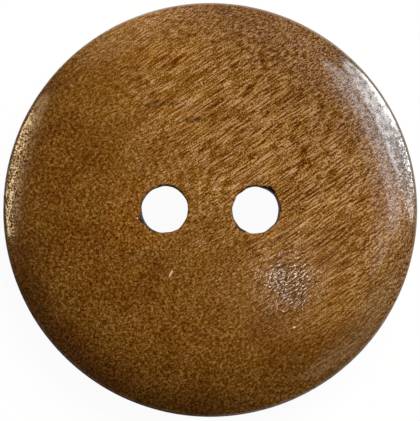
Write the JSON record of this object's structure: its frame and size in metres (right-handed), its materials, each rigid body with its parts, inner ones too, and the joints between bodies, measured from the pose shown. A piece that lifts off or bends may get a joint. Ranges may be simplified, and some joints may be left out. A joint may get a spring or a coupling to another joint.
{
  "type": "wooden sewing button",
  "caption": "Round turned wooden sewing button with a gently crowned front, a rounded shoulder and rim, a flat back, and sewing holes drilled through the middle.",
  "frame": {"origin": "middle of the flat back, which lies on the surface that the button rests on", "axes": "+Z is the turning axis and points out of the crowned front; +X runs along the line of the sewing holes"},
  "size_m": [0.025, 0.025, 0.0045],
  "materials": {
    "lacquered_wood": "satin"
  },
  "bodies": {
    "root": {"button": "lacquered_wood"}
  },
  "joints": []
}
